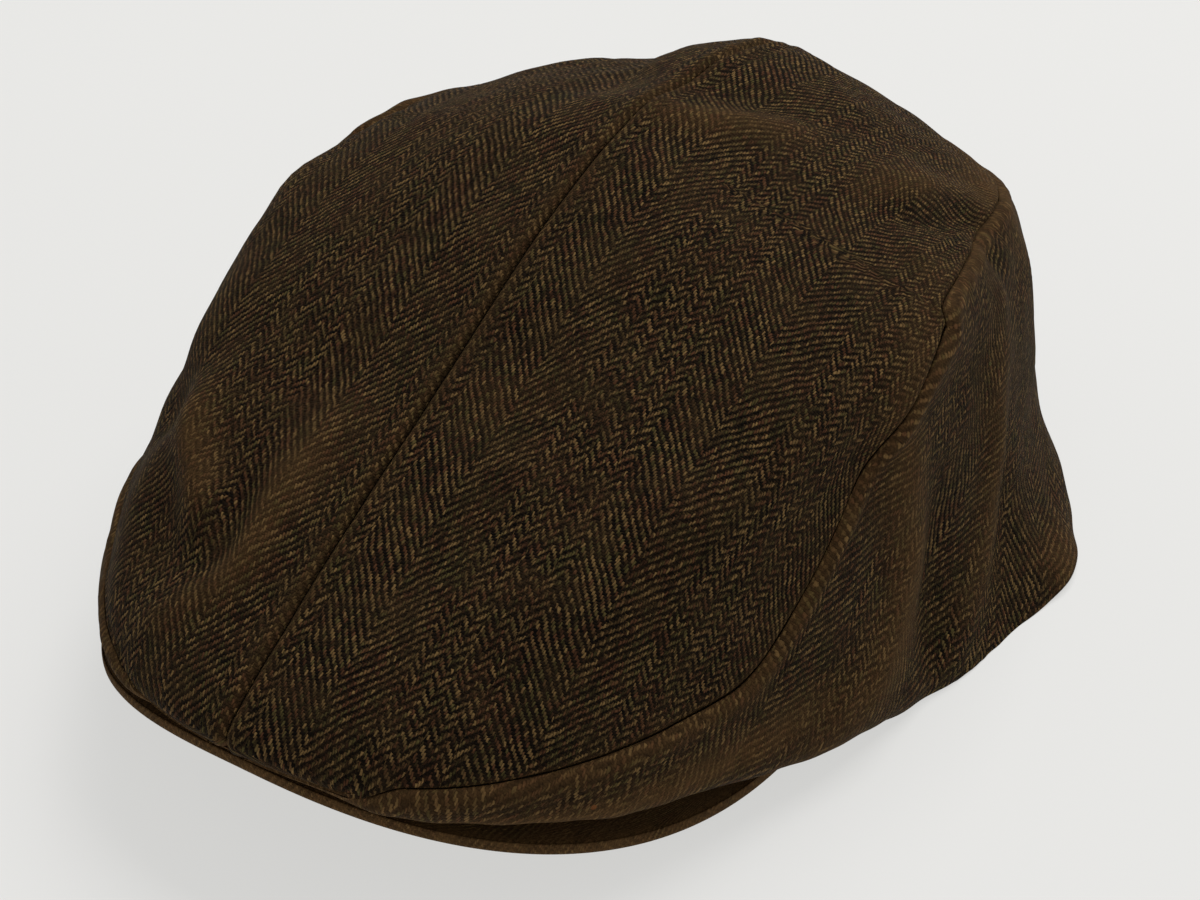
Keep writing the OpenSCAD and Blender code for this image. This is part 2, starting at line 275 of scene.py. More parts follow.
def fold_line(points):
    """A smooth line through a fold's points, with how strongly the fold shows at each."""
    p = np.array(points, float)
    p = np.vstack([2 * p[0] - p[1], p, 2 * p[-1] - p[-2]])
    parts = [
        spline((p[i], p[i + 1], p[i + 2], p[i + 3]), np.linspace(0, 1, 8, endpoint=False)[:, None])
        for i in range(len(p) - 3)
    ]
    line = np.vstack(parts + [p[-2:-1]])
    run = np.linspace(0, 1, len(line))
    return line, np.sin(PI * np.clip(run, 0.04, 0.96)) ** 0.45


FULL_RUB_AND_HIGHLIGHT = 4.0            # height of a fold whose ridge is drawn fully rubbed: worn wool and painted highlight
MOST_RUB_AND_HIGHLIGHT = 0.8


def fold_field(p):
    """Height of all the folds at points p, and how far the wool is drawn rubbed and lighter there:
    worn wool, and painted highlight on the ridges.
    """
    height = np.zeros(p.shape[:-1])
    rub_and_highlight = np.zeros(p.shape[:-1])
    for points, width, amount in FOLDS:
        line, weight = fold_line(points)
        best = np.zeros(p.shape[:-1])
        for q, k in zip(line, weight):
            best = np.maximum(best, k * bell(np.linalg.norm(p - q, axis=-1), width))
        height += amount * best
        rub_and_highlight += best * amount / FULL_RUB_AND_HIGHLIGHT
    return height, np.clip(rub_and_highlight, 0, MOST_RUB_AND_HIGHLIGHT)


WAVE_COUNT = 7


def waves(p, size, seed):
    """Smooth unevenness of about one, from a few sine waves in turned directions."""
    rng = np.random.default_rng(seed)
    total = np.zeros(p.shape[:-1])
    for _ in range(WAVE_COUNT):
        k = unit(rng.normal(size=3)) * 2 * PI / (size * rng.uniform(0.7, 1.5))
        total += np.sin(p @ k + rng.uniform(0, 2 * PI))
    return total / 2.6


# ---------------------------------------------------------------- meshes
def mesh_object(name, verts, faces, material, uv=None, attributes=()):
    """A smooth-shaded mesh object from points in millimetres."""
    me = bpy.data.meshes.new(name)
    me.from_pydata((np.asarray(verts, float) * MM).tolist(), [], faces)
    me.update()
    if uv is not None:
        corners = np.zeros(len(me.loops), int)
        me.loops.foreach_get("vertex_index", corners)
        layer = me.uv_layers.new(name="grain")
        layer.data.foreach_set("uv", (uv[corners] * MM).astype(np.float32).ravel())
    for key, values in attributes:
        me.attributes.new(key, "FLOAT", "POINT").data.foreach_set(
            "value", values.astype(np.float32).ravel())
    me.polygons.foreach_set("use_smooth", np.ones(len(me.polygons), bool))
    me.materials.append(material)
    me.update()
    obj = bpy.data.objects.new(name, me)
    bpy.context.scene.collection.objects.link(obj)
    return obj


def slab(outer, inner, flip=False):
    """Points and quads of a closed sheet between two grids, rows by columns."""
    rows, cols = outer.shape[:2]
    size = rows * cols
    at = np.arange(size).reshape(rows, cols)
    skin = np.stack([at[:-1, :-1], at[:-1, 1:], at[1:, 1:], at[1:, :-1]], -1).reshape(-1, 4)
    rim = np.concatenate([at[0, :-1], at[:-1, -1], at[-1, :0:-1], at[:0:-1, 0]])
    after = np.roll(rim, -1)
    wall = np.stack([rim, rim + size, after + size, after], -1)
    quads = np.vstack([skin, (skin + size)[:, ::-1], wall])
    if flip:
        quads = quads[:, ::-1]
    points = np.concatenate([outer.reshape(-1, 3), inner.reshape(-1, 3)])
    return points, quads.tolist()


def twice(values):
    """A grid's values for both skins of its slab."""
    flat = values.reshape(-1, *values.shape[2:])
    return np.concatenate([flat, flat])


# ---------------------------------------------------------------- grain of the wool
PIVOT_Y, PIVOT_Z = 10.0, -60.0      # the axis round which the top's length is counted
FRONT_TURN, SIDE_TURN = 12, 52      # how far the side panels' grain is turned, in degrees


def top_grain(p):
    """Distance across from the centre seam and along it, on the top panel's grid p."""
    turn = np.arctan2(p[..., 1] - PIVOT_Y, p[..., 2] - PIVOT_Z)
    reach = np.hypot(p[..., 1] - PIVOT_Y, p[..., 2] - PIVOT_Z)
    steps = np.linspace(turn.min(), turn.max(), 400)
    cols = range(p.shape[1])
    x = np.stack([np.interp(steps, turn[:, j], p[:, j, 0]) for j in cols], 1)
    r = np.stack([np.interp(steps, turn[:, j], reach[:, j]) for j in cols], 1)
    across = arc(np.stack([x, r], -1), 1)
    length = arc(p[:, :1], 0)[:, 0]
    u = np.stack([np.interp(turn[:, j], steps, across[:, j]) for j in cols], 1)
    v = np.interp(turn, turn[:, 0], length)
    return np.stack([u, v], -1)


def side_grain(p, t):
    """Grain of a side panel: its cloth lies along the waist and is turned, less so in front."""
    deg = np.linspace(-4, 184, 380)
    line = ring_pt(WAIST, np.radians(deg))
    step = np.diff(arc(line, 0), prepend=0)
    turned = np.radians(along(FRONT_TURN, SIDE_TURN, smooth((deg - 10) / 45)))
    ahead = unit(np.gradient(line, axis=0))
    near = np.argmin(((p[:, :, None, :2] - line[:, :2]) ** 2).sum(-1), -1)
    away = p - line[near]
    run = (away * ahead[near]).sum(-1)
    rise = np.diff(p, axis=1)
    rise = rise - (rise * ahead[near][:, 1:]).sum(-1, keepdims=True) * ahead[near][:, 1:]
    h = np.cumsum(np.pad(np.linalg.norm(rise, axis=-1), ((0, 0), (1, 0))), 1)
    h = h - np.array([[np.interp(1, t_row, h_row)] for t_row, h_row in zip(t, h)])
    s, c = np.sin(turned), np.cos(turned)
    u = np.cumsum(c * step)[near] + run * c[near] - h * s[near]
    v = np.cumsum(s * step)[near] + run * s[near] + h * c[near]
    return np.stack([u, v], -1)


# ---------------------------------------------------------------- node helper
class Nodes:
    """Makes shader nodes and links them in one call each."""

    def __init__(self, name):
        self.material = bpy.data.materials.new(name)
        self.material.use_nodes = True
        self.tree = self.material.node_tree
        self.tree.nodes.clear()

    def put(self, socket, value):
        """Links another node's output to a socket, or sets the socket's own value."""
        if isinstance(value, bpy.types.NodeSocket):
            self.tree.links.new(value, socket)
        elif value is not None:
            socket.default_value = value

    def node(self, kind, inputs=(), **settings):
        made = self.tree.nodes.new(kind)
        for key, value in settings.items():
            setattr(made, key, value)
        for key, value in dict(inputs).items():
            self.put(made.inputs[key], value)
        return made

    def math(self, operation, *values):
        made = self.node("ShaderNodeMath", operation=operation)
        for i, value in enumerate(values):
            self.put(made.inputs[i], value)
        return made.outputs[0]

    def mix(self, factor, a, b, how="MIX"):
        """Colour a where factor is 0, b laid over it where it is 1."""
        made = self.node("ShaderNodeMix", data_type="RGBA", blend_type=how)
        for i, value in ((0, factor), (6, a), (7, b)):
            self.put(made.inputs[i], value)
        return made.outputs[2]

    def blend(self, factor, a, b):
        """a where factor is 0, b where it is 1."""
        return self.math("MULTIPLY_ADD", factor, self.math("SUBTRACT", b, a), a)

    def noise(self, scale, detail=2.0, vector=None, rough=0.5):
        return self.node("ShaderNodeTexNoise", {
            "Scale": scale, "Detail": detail, "Roughness": rough, "Vector": vector,
        }).outputs["Fac"]

    def ramp(self, value, low, high):
        """A soft step from 0 at low to 1 at high."""
        inputs = {"Value": value, "From Min": low, "From Max": high}
        return self.node(
            "ShaderNodeMapRange", inputs, interpolation_type="SMOOTHSTEP").outputs[0]

    def bump(self, height, distance, strength):
        return self.node("ShaderNodeBump", {
            "Height": height, "Distance": distance, "Strength": strength,
        }).outputs[0]

    def place(self):
        """Where a point lies on the object, in metres."""
        return self.node("ShaderNodeTexCoord").outputs["Object"]

    def moved(self, place, x, y, z):
        """The same place moved away, so that two noises don't match."""
        return self.node(
            "ShaderNodeVectorMath", {0: place, 1: (x, y, z)}, operation="ADD").outputs[0]

    def grain(self):
        """Where a point lies on the flat cloth, across and along, in millimetres."""
        flat = self.node("ShaderNodeSeparateXYZ", {
            "Vector": self.node("ShaderNodeUVMap", uv_map="grain").outputs[0]})
        return [self.math("MULTIPLY", flat.outputs[i], 1 / MM) for i in (0, 1)]

    def principled(self, sockets):
        """Ends the material with a principled shader."""
        shader = self.node("ShaderNodeBsdfPrincipled", sockets)
        self.node("ShaderNodeOutputMaterial", {"Surface": shader.outputs[0]})
        return self.material


def rgb(r, g, b):
    """Linear colour from 0-255 display values."""
    def linear(c):
        c = c / 255
        return c / 12.92 if c <= 0.04045 else ((c + 0.055) / 1.055) ** 2.4
    return (linear(r), linear(g), linear(b), 1.0)


# ---------------------------------------------------------------- wool
WARP_GAP = 0.475          # one warp yarn, across the columns
WEFT_GAP = 0.61           # one weft yarn, along the columns
FIRST_COLUMN = 5.8        # from the seam to the first wide column
WIDE = 11.7               # width of the two wide columns
NARROW = 2.225            # width of each of the eight narrow columns
REPEAT = 2 * WIDE + 8 * NARROW
TWILL = 4.0               # yarns from one float to the next
WANDER_SCALES = (28.0, 190.0, 850.0)
WARP_WANDER = (1.6, 1.1, 0.62)
WEFT_WANDER = (1.6, 1.3, 0.7)
DARK = rgb(6, 4, 3)
EARTH = rgb(28, 19, 12)
LIGHT = rgb(86, 67, 41)
PALE = rgb(116, 92, 57)
OLIVE = rgb(74, 66, 37)
RUSSET = rgb(80, 52, 34)
NAP_DARK = rgb(28, 20, 12)
NAP_LIGHT = rgb(70, 53, 32)
# rubbed wool, lighter: worn colour, and on the fold ridges also painted highlight
RUB_AND_HIGHLIGHT_DARK = rgb(50, 36, 21)
RUB_AND_HIGHLIGHT_LIGHT = rgb(108, 80, 48)
NEP_RUSSET = rgb(112, 66, 34)
NEP_OLIVE = rgb(86, 84, 50)


def uneven(n, base, where, wander):
    """A grain coordinate in millimetres, pulled about at three scales."""
    for scale, amount in zip(WANDER_SCALES, wander):
        wave = n.math("SUBTRACT", n.noise(scale, 1.0, where), 0.5)
        base = n.math("MULTIPLY_ADD", wave, amount, base)
    return base


def column_lean(n, u):
    """Which way the twill leans, 1 or -1, in the column at distance u across the cloth."""
    p = n.math("FLOORED_MODULO", n.math("SUBTRACT", u, FIRST_COLUMN), REPEAT)
    k = n.math("FLOOR", n.math("DIVIDE", n.math("SUBTRACT", p, 2 * WIDE), NARROW))
    narrow = n.math("MULTIPLY_ADD", n.math("FLOORED_MODULO", k, 2.0), -2.0, 1.0)
    wide = n.math("MULTIPLY_ADD", n.math("GREATER_THAN", p, WIDE), -2.0, 1.0)
    return n.blend(n.math("GREATER_THAN", p, 2 * WIDE), wide, narrow)


def float_height(n, run, fraction):
    """Height of a yarn's float, from its run along the yarn and the fraction across it."""
    length = n.math("MAXIMUM", n.math("SINE", n.math("MULTIPLY", run, 2 * PI / TWILL)), 0.0)
    breadth = n.math("SINE", n.math("MULTIPLY", fraction, PI))
    return n.math("MULTIPLY", n.math("POWER", length, 0.6), n.math("POWER", breadth, 0.7))


def float_shade(n, yarn, run, lean):
    """Three random values from 0 to 1 for each float."""
    number = n.math("FLOOR", n.math("DIVIDE", run, TWILL))
    cell = n.node("ShaderNodeCombineXYZ", {0: yarn, 1: number, 2: lean})
    shade = n.node(
        "ShaderNodeTexWhiteNoise", {"Vector": cell.outputs[0]}, noise_dimensions="3D")
    return n.node("ShaderNodeSeparateColor", {0: shade.outputs["Color"]}).outputs


def weave(n, place):
    """Heights of the warp and weft floats, and the random values of each float."""
    across, along_it = n.grain()
    u = uneven(n, across, place, WARP_WANDER)
    v = uneven(n, along_it, n.moved(place, 0.3, 0.1, 0.2), WEFT_WANDER)
    lean = column_lean(n, u)
    # warp floats run along the columns, weft floats across them
    uw = n.math("DIVIDE", u, WARP_GAP)
    vw = n.math("DIVIDE", v, WEFT_GAP)
    warp_yarn = n.math("FLOOR", uw)
    weft_yarn = n.math("FLOOR", vw)
    warp_run = n.math("MULTIPLY_ADD", lean, vw, warp_yarn)
    weft_run = n.math("MULTIPLY_ADD", lean, weft_yarn, uw)
    warp_phase = n.math("FLOORED_MODULO", warp_run, TWILL)
    weft_phase = n.math("SUBTRACT", n.math("FLOORED_MODULO", weft_run, TWILL), TWILL / 2)
    warp = float_height(n, warp_phase, n.math("FRACT", uw))
    weft = float_height(n, weft_phase, n.math("FRACT", vw))
    weft = n.math("MULTIPLY", weft, 0.8)
    warp_shade = float_shade(n, warp_yarn, warp_run, lean)
    weft_shade = float_shade(n, weft_yarn, weft_run, lean)
    return warp, weft, warp_shade, weft_shade


def yarn_colour(n, place, on_top, warp_shade, weft_shade):
    """Every float has its own shade and tint, and the tints gather in patches."""
    patch = n.noise(120.0, 3.0, place, rough=0.6)
    patch_b = n.noise(170.0, 2.0, n.moved(place, 0.31, 0.17, 0.53))
    olive = n.ramp(n.math("MULTIPLY_ADD", warp_shade[1], 0.35, patch), 0.58, 0.8)
    russet = n.ramp(n.math("MULTIPLY_ADD", warp_shade[2], 0.35, patch_b), 0.6, 0.82)
    light = n.mix(russet, n.mix(olive, LIGHT, OLIVE), RUSSET)
    light = n.mix(n.ramp(warp_shade[0], 0.62, 1.0), light, PALE)
    light = n.mix(n.math("MULTIPLY", n.ramp(warp_shade[0], 0.5, 0.0), 0.7), light, DARK)
    dark = n.mix(n.math("MULTIPLY", weft_shade[0], 0.8), DARK, EARTH)
    return n.mix(on_top, dark, light)


def napped(n, place, woven, fibre, worn):
    """Nap hides the weave in soft patches, and rubbed places take lighter colours: worn wool, and on
    the ridges also painted highlight.
    """
    felted = n.mix(n.ramp(fibre, 0.3, 0.7), NAP_DARK, NAP_LIGHT)
    patches = n.noise(95.0, 4.0, n.moved(place, 0.7, 0.2, 0.1), rough=0.65)
    woven = n.mix(n.math("MULTIPLY", n.ramp(patches, 0.4, 0.72), 0.5), woven, felted)
    rub_and_highlight = n.mix(fibre, RUB_AND_HIGHLIGHT_DARK, RUB_AND_HIGHLIGHT_LIGHT)
    return n.mix(n.math("MULTIPLY", worn, 0.8), woven, rub_and_highlight)


def shaded(n, colour, tone):
    """A colour made darker where tone is under 1."""
    grey = n.node("ShaderNodeCombineColor", {0: tone, 1: tone, 2: tone})
    return n.mix(1.0, colour, grey.outputs[0], "MULTIPLY")


def with_neps(n, place, colour):
    """Adds small knots of coloured fibre."""
    cell = n.node("ShaderNodeTexVoronoi", {"Vector": place, "Scale": 120.0})
    pick = n.node("ShaderNodeSeparateColor", {0: cell.outputs["Color"]})
    nep = n.math("MULTIPLY", n.math("LESS_THAN", cell.outputs["Distance"], 0.075),
                 n.math("GREATER_THAN", pick.outputs[0], 0.97))
    nep_colour = n.mix(n.math("GREATER_THAN", pick.outputs[1], 0.6), NEP_RUSSET, NEP_OLIVE)
    return n.mix(n.math("MULTIPLY", nep, 0.7), colour, nep_colour)


def wool_material():
    """Herringbone: warp and weft floats over columns that lean to one side and the other."""
    n = Nodes("wool_tweed")
    place = n.place()
    warp, weft, warp_shade, weft_shade = weave(n, place)
    height = n.math("MAXIMUM", warp, weft)
    fibre = n.noise(1500.0, 3.0, place, rough=0.75)
    fray = n.math("MULTIPLY_ADD", fibre, 0.9, n.math("SUBTRACT", warp, weft))
    woven = yarn_colour(n, place, n.ramp(fray, 0.3, 0.72), warp_shade, weft_shade)
    # drawn lighter and less woven where rubbed: wool worn at the lip, seams and hem, and on the fold
    # ridges worn wool with painted highlight
    worn = n.node("ShaderNodeAttribute", attribute_name="rub_and_highlight").outputs["Fac"]
    patchy = n.blend(n.ramp(n.noise(330.0, 3.0, place), 0.3, 0.6), 0.7, 1.0)
    worn = n.math("MULTIPLY", worn, patchy)
    colour = napped(n, place, woven, fibre, worn)
    speck = n.noise(2600.0, 1.0, place)
    # tone darkens the colour where the weave is low, between the floats and at their ends: painted
    # shade; the speck noise adds random tone
    tone = n.math("MULTIPLY_ADD", height, 0.45, n.math("MULTIPLY_ADD", speck, 0.9, 0.25))
    bumpy = n.math("MULTIPLY_ADD", fibre, 0.7, n.blend(worn, height, 0.4))
    return n.principled({
        "Base Color": with_neps(n, place, shaded(n, colour, tone)),
        "Roughness": n.blend(worn, 0.82, 0.95),
        "Specular IOR Level": 0.05,
        "Sheen Weight": 0.04,
        "Sheen Roughness": 0.45,
        "Sheen Tint": rgb(196, 168, 120),
        "Normal": n.bump(bumpy, 0.00028, 0.8),
    })


WOOL = wool_material()


# ---------------------------------------------------------------- wool panels
PANEL_ROWS = 240
PANEL_COLS = 76
SIDE_COLS = 56
LIP_DROOP = 3.3           # sag of the wool along the lip
CORNER_DROOP = 2.4        # sag where the lip meets the rim
HEM_STEPS = 6
HEM_RUB = 0.4
FLOOR_OUT, FLOOR_IN = 0.05, 0.12    # least height of the wool's outer and inner faces
# Each seam: its random seed, and the depth and width of its valley.
CENTRE_SEAM = (3, 1.25, 0.95)
SIDE_SEAM = (4, 1.05, 1.1)
# How far and how wide the nap is raised beside the seams.
TOP_NAP = (0.4, 1.6)
SIDE_NAP = (0.66, 3.0)


def seam_profile(d, p, seam):
    """Height of the wool at distance d from a sewn seam: a valley and a swollen shoulder."""
    seed, depth, width = seam
    shoulder = (0.42 + 0.13 * waves(p, 9.0, seed)) * bell(d - 2.4, 1.8)
    return shoulder - depth * bell(d, width)


def droop(a, t):
    """How far the wool sags over the peak, as a height to add; the snap holds it in front."""
    deg = np.degrees(np.abs(a))
    held = 1 - 0.42 * bell(deg, 13)
    lip = -LIP_DROOP * held * bell(t - 1.08, 0.34) * smooth((60 - deg) / 42)
    corner = -CORNER_DROOP * bell(deg - 57, 9) * smooth(1 - t / 0.9)
    return lip + corner


def lip_wear(a, t):
    """How rubbed the wool is along the lip."""
    return 0.9 * bell(t - 1.04, 0.16) * smooth((85 - np.degrees(np.abs(a))) / 25)


def keep_cut(obj, p):
    """Works out the size of the flat cloth that a sheet's smooth grid p stands for, keeps none of
    it, and returns the object.
    """
    width = arc(p, 1)[:, -1].max() * MM
    length = arc(p, 0)[-1].max() * MM
    return obj


def place_piece(obj, body, slot_name, *nodes):
    """Rides a finished piece on a body and hides the CAD nodes it stands for."""
    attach(obj, body)
    if nodes:
        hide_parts(*nodes)
    return obj


def hemmed(inner, outer, normal):
    """Adds rows that round the rim's edge, from under the wool up to its outer face."""
    middle = (inner[:, :1] + outer[:, :1]) / 2
    out = normal[:, :1] * WOOL_T / 2
    down = unit(outer[:, :1] - outer[:, 1:2]) * WOOL_T / 2
    turns = np.linspace(0, PI / 2, HEM_STEPS, endpoint=False)[None, :, None]
    low_out = middle + down * np.cos(turns) + out * np.sin(turns)
    low_in = middle + down * np.cos(turns) - out * np.sin(turns)
    return np.concatenate([low_in, inner], 1), np.concatenate([low_out, outer], 1)


def panel(name, base, normal, sag, wear, seams, nap, grain, mirrored, hem=False):
    """A closed wool panel from its smooth grid, with folds, seams and thickness."""
    side = -1 if mirrored else 1
    p = base * (side, 1, 1)
    normal = normal * (side, 1, 1)
    folds, rub_and_highlight = fold_field(p)
    calm = np.ones(p.shape[:2])
    for d, _ in seams:
        calm = np.minimum(calm, 0.5 + 0.5 * smooth(d / 9.0))
    rub_and_highlight = np.maximum(rub_and_highlight, wear)
    lift = folds + (0.45 * waves(p, 34.0, 5) + 0.16 * waves(p, 12.0, 8)) * calm
    for d, seam in seams:
        lift += seam_profile(d, p, seam)
        rub_and_highlight = np.maximum(rub_and_highlight, nap[0] * bell(d - 0.8, nap[1]))
    outer = p + normal * lift[..., None]
    outer[..., 2] += sag
    turned = grid_normals(outer) * side
    inner = outer - turned * WOOL_T
    if hem:
        inner, outer = hemmed(inner, outer, turned)
        grain = np.concatenate([grain[:, :1].repeat(HEM_STEPS, 1), grain], 1)
        rub_and_highlight = np.pad(rub_and_highlight, ((0, 0), (HEM_STEPS, 0)), constant_values=HEM_RUB)
    for values, floor in ((outer, FLOOR_OUT), (inner, FLOOR_IN)):
        values[..., 0] = side * np.maximum(side * values[..., 0], SEAM_GAP)
        values[..., 2] = np.maximum(values[..., 2], floor)
    points, quads = slab(outer, inner, flip=mirrored)
    return keep_cut(mesh_object(
        name, points, quads, WOOL, twice(grain), [("rub_and_highlight", twice(rub_and_highlight))]), base)


def top_grid(rows, cols):
    """Places on the half disc of a top panel, its seams at the first and last column."""
    s = np.clip(eased(rows, 0.35), 0.012, 0.988)[:, None] * PI
    w = eased(cols, 0.72)[None, :]
    return w * np.sin(s), -np.cos(s) + 0 * w


def make_top(name, node, mirrored):
    """A top panel, from the centre seam down to the side seam."""
    x, y = top_grid(PANEL_ROWS, PANEL_COLS)
    base = disc_face(CROWN, x, y)
    base[:, 0, 0] = 0
    a = np.arctan2(x, -y)
    t = T_MID - np.hypot(x, y) * (T_MID - seam_t(a))
    across = arc(base, 1)
    seams = [(across, CENTRE_SEAM), (across[:, -1:] - across, SIDE_SEAM)]
    obj = panel(name, base, disc_outward(CROWN, x, y), droop(a, t), lip_wear(a, t), seams,
                TOP_NAP, top_grain(base), mirrored)
    return place_piece(obj, "crown", "wool_tweed", node)


def side_grid(rows, cols, low):
    """Angles and loft parameters of a side panel from its lower edge up to the seam."""
    a = np.radians(180 * eased(rows, 0.2))
    foot = low(a)
    return a[:, None], along(foot[:, None], seam_t(a)[:, None], eased(cols, 0.6)[None, :])


def make_side(name, node, mirrored):
    """A side panel, from its hem at the rim up to the side seam; its weave hangs with it."""
    a, t = side_grid(PANEL_ROWS, SIDE_COLS, np.zeros_like)
    base = face(CROWN, a, t)
    sag = droop(a, t)
    hung = base.copy()
    hung[..., 2] += sag
    up = arc(base, 1)
    obj = panel(name, base, outward(CROWN, a, t), sag, lip_wear(a, t),
                [(up[:, -1:] - up, SIDE_SEAM)], SIDE_NAP, side_grain(hung, t), mirrored,
                hem=True)
    return place_piece(obj, "crown", "wool_tweed", node)


top_left = make_top("wool_top_left", "top_panel_left", False)
top_right = make_top("wool_top_right", "top_panel_right", True)
side_left = make_side("wool_side_left", "side_panel_left", False)
side_right = make_side("wool_side_right", "side_panel_right", True)


# ---------------------------------------------------------------- other cloths
FLOAT_PITCH = 0.42        # from one float of the satin to the next


def darker(colour, share):
    """A share of a colour's light."""
    return [c * share for c in colour[:3]] + [1]


def satin_material():
    """Twill-backed satin: long fine floats on a slant, with soft creases in the gloss."""
    n = Nodes("lining_satin")
    thread = rgb(66, 48, 38)
    place = n.place()
    u, v = n.grain()
    slant = n.math("ADD", u, n.math("MULTIPLY", v, 0.6))
    rib = n.math("SINE", n.math("MULTIPLY", slant, 2 * PI / FLOAT_PITCH))
    streak = n.noise(1.0, 2.0, n.node("ShaderNodeCombineXYZ", {
        0: n.math("MULTIPLY", u, 3.0), 1: n.math("MULTIPLY", v, 0.25)}).outputs[0])
    crease = n.noise(60.0, 3.0, place)
    # the crease noise, which also makes the creases' bump, darkens their lows: painted shade; the
    # streaks vary the tone at random
    tone = n.math("MULTIPLY_ADD", streak, 0.5, n.math("MULTIPLY", crease, 0.5))
    colour = n.mix(tone, darker(thread, 0.55), thread)
    height = n.math("MULTIPLY_ADD", rib, 0.35, n.math("MULTIPLY", crease, 2.0))
    return n.principled({
        "Base Color": colour,
        "Roughness": n.blend(crease, 0.34, 0.5),
        "Specular IOR Level": 0.45,
        "Anisotropic": 0.4,
        "Sheen Weight": 0.1,
        "Sheen Tint": rgb(150, 120, 96),
        "Normal": n.bump(height, 0.00012, 0.5),
    })


def ribbed_material(name, thread, pitch, slant, depth, roughness):
    """Close cloth in one thread colour, with ribs of a pitch and depth in millimetres."""
    n = Nodes(name)
    place = n.place()
    u, v = n.grain()
    loose = n.math("MULTIPLY", n.noise(700.0, 2.0, place), 0.25)
    across = n.math("ADD", n.math("MULTIPLY_ADD", v, slant, u), loose)
    rib = n.math("ABSOLUTE", n.math("SINE", n.math("MULTIPLY", across, PI / pitch)))
    beads = n.math("ABSOLUTE", n.math("SINE", n.math("MULTIPLY", v, PI / (pitch * 0.8))))
    height = n.math("MULTIPLY", rib, n.math("MULTIPLY_ADD", beads, 0.35, 0.65))
    worn = n.noise(45.0, 4.0, place)
    fibre = n.noise(1700.0, 2.0, place)
    # the rib height lightens the ribs and darkens the grooves between them: painted shade; the worn
    # and fibre noises add random tone
    tone = n.math("ADD", n.math("MULTIPLY", height, 0.45),
                  n.math("MULTIPLY_ADD", worn, 0.4, n.math("MULTIPLY", fibre, 0.3)))
    colour = n.mix(tone, darker(thread, 0.35), thread)
    return n.principled({
        "Base Color": colour,
        "Roughness": n.blend(worn, roughness, min(roughness + 0.12, 1.0)),
        "Specular IOR Level": 0.2,
        "Sheen Weight": 0.08,
        "Normal": n.bump(height, depth * MM, 0.7),
    })


def board_material():
    """Grey-brown pulp board."""
    n = Nodes("peak_board_pulp")
    place = n.place()
    pulp = n.noise(420.0, 4.0, place, rough=0.7)
    return n.principled({
        "Base Color": n.mix(pulp, rgb(104, 92, 72), rgb(150, 138, 114)),
        "Roughness": 0.9,
        "Normal": n.bump(pulp, 0.00015, 0.5),
    })


def metal_material():
    """Dull plated brass in patches, with fine scratches."""
    n = Nodes("snap_plate")
    place = n.place()
    scratches = n.noise(1400.0, 3.0, place, rough=0.7)
    patches = n.noise(260.0, 2.0, place)
    return n.principled({
        "Base Color": n.mix(patches, rgb(112, 98, 74), rgb(158, 146, 120)),
        "Metallic": 1.0,
        "Roughness": n.blend(scratches, 0.28, 0.5),
        "Normal": n.bump(scratches, 0.00004, 0.4),
    })


SATIN = satin_material()
BAND = ribbed_material("band_twill", rgb(52, 44, 38), 0.7, 0.55, 0.16, 0.75)
TAPE = ribbed_material("rim_petersham", rgb(40, 36, 32), 1.1, 0.0, 0.25, 0.7)
TAB = ribbed_material("tab_cotton", rgb(196, 188, 170), 0.5, 0.0, 0.1, 0.8)
THREAD = ribbed_material("sewing_thread", rgb(58, 44, 32), 0.35, 0.8, 0.1, 0.6)
BOARD = board_material()
METAL = metal_material()


# ---------------------------------------------------------------- lining
LINING_ROWS = 150
LINING_COLS = 44
LINING_SIDE_COLS = 24
FOLD_SHARE = 0.85         # how much of the wool's folds the lining takes
LINING_SLACK = 0.25
LINING_LOW_FRONT, LINING_LOW_BACK = 0.85, 0.35


def lining(name, node, base, wool, normal, near_seams, mirrored):
    """A thin lining panel that follows the wool's folds from inside."""
    side = -1 if mirrored else 1
    p = base * (side, 1, 1)
    folds, _ = fold_field(wool * (side, 1, 1))
    lift = FOLD_SHARE * folds - LINING_SLACK + 0.3 * waves(p, 16.0, 21)
    for d in near_seams:
        lift -= 0.5 * bell(d, 1.0)
    outer = p + normal * (side, 1, 1) * lift[..., None]
    inner = outer - grid_normals(outer) * side * LINING_T
    for values in (outer, inner):
        values[..., 0] = side * np.maximum(side * values[..., 0], SEAM_GAP)
    grain = np.stack([arc(base, 1), arc(base, 0)], -1)
    points, quads = slab(outer, inner, flip=mirrored)
    obj = keep_cut(mesh_object(name, points, quads, SATIN, twice(grain)), base)
    return place_piece(obj, "crown", "lining_cloth", node)


def lining_top(name, node, mirrored):
    """The lining of a top panel."""
    x, y = top_grid(LINING_ROWS, LINING_COLS)
    base = disc_face(LINED, x, y)
    base[:, 0, 0] = 0
    across = arc(base, 1)
    return lining(name, node, base, disc_face(CROWN, x, y), disc_outward(CROWN, x, y),
                  (across, across[:, -1:] - across), mirrored)


def lining_foot(a):
    """Loft parameter of the side lining's lower edge, nearer the rim in front and behind."""
    return 1 - np.where(a < PI / 2, LINING_LOW_FRONT, LINING_LOW_BACK) * np.cos(a) ** 2


def lining_side(name, node, mirrored):
    """The lining of a side panel."""
    a, t = side_grid(LINING_ROWS, LINING_SIDE_COLS, lining_foot)
    base = face(LINED, a, t)
    up = arc(base, 1)
    return lining(name, node, base, face(CROWN, a, t), outward(CROWN, a, t),
                  (up[:, -1:] - up,), mirrored)


lining_top_left = lining_top("lining_top_left", "top_lining_left", False)
lining_top_right = lining_top("lining_top_right", "top_lining_right", True)
lining_side_left = lining_side("lining_side_left", "side_lining_left", False)
lining_side_right = lining_side("lining_side_right", "side_lining_right", True)


